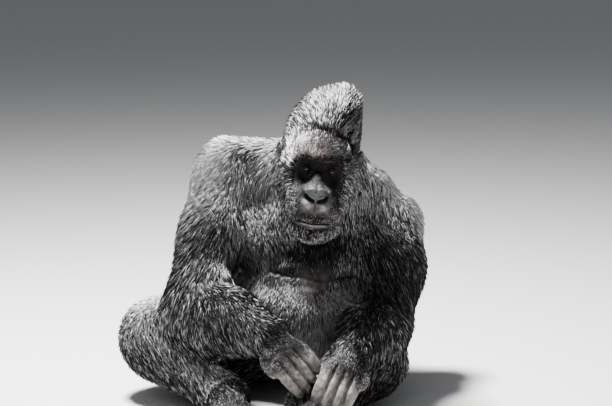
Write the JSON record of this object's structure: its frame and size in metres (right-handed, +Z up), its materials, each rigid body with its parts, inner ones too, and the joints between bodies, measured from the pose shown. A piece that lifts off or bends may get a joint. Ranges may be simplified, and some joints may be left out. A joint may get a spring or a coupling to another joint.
{
  "type": "seated gorilla",
  "caption": "Life-size still gorilla sitting on the ground with knees spread, head lowered over the chest and both hands hanging over its ankles, for display or set dressing",
  "frame": {"origin": "middle of the base on the floor plane, under the centre of the bounding box", "axes": "+Z up; the gorilla faces -Y; +X is its own left"},
  "size_m": [0.8284, 0.8748, 0.8589],
  "materials": {
    "head_hair": "short dense hair, charcoal with grey tips and a ginger tinge on the crown; bare black glossy skin on the face",
    "dark_hair": "long soft hair, blue-black with a slight sheen",
    "silver_hair": "long soft hair, dark at the root and silver grey at the tip",
    "bare_hide": "bare wrinkled black skin, satin",
    "eyeball": "wet dark brown eye"
  },
  "bodies": {
    "root": {"head": "head_hair", "neck": "dark_hair", "trunk": "silver_hair", "upper_arm_right": "silver_hair", "upper_arm_left": "silver_hair", "forearm_right": "dark_hair", "forearm_left": "dark_hair", "hand_right": "bare_hide", "hand_left": "bare_hide", "thigh_right": "silver_hair", "thigh_left": "silver_hair", "shin_right": "dark_hair", "shin_left": "dark_hair", "foot_right": "bare_hide", "foot_left": "bare_hide", "ear_right": "bare_hide", "ear_left": "bare_hide", "eye_right": "eyeball", "eye_left": "eyeball"}
  },
  "joints": []
}
